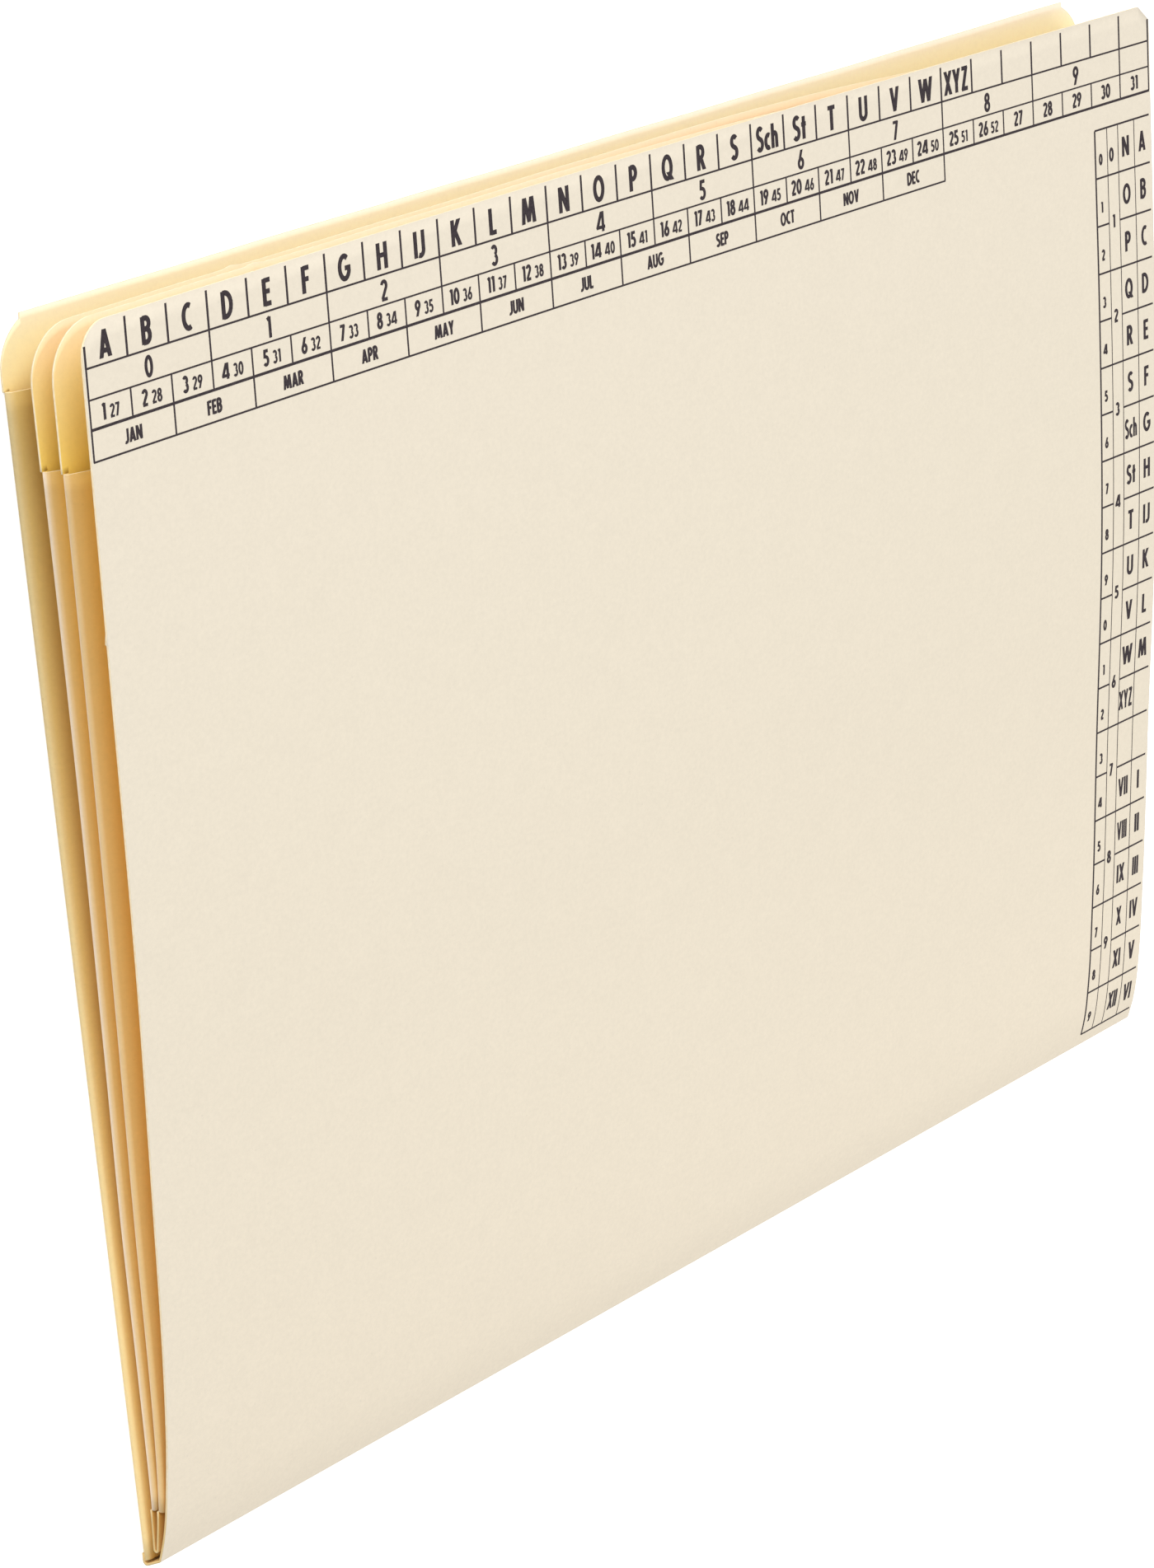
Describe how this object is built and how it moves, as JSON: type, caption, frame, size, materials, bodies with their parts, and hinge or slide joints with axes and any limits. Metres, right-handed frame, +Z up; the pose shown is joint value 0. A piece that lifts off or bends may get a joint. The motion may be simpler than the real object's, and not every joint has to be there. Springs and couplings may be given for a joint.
{
  "type": "expanding file folder",
  "caption": "Landscape card file folder with three pockets open at the top, a narrow spine, two dividers with side flaps and a printed index on its front.",
  "frame": {"origin": "on the floor under the middle of the whole folder, which lies on its back", "axes": "+X to the right across the leaves as the front is read, +Y from the spine to the open top edges, +Z up, out of the front"},
  "size_m": [0.3112, 0.2272, 0.0239],
  "materials": {
    "outer_card": "matte uncoated cream card",
    "inner_card": "matte uncoated cream card, warmer in the shade of the pockets"
  },
  "bodies": {
    "root": {"outer_cover": "outer_card", "divider_insert": "inner_card"}
  },
  "joints": []
}
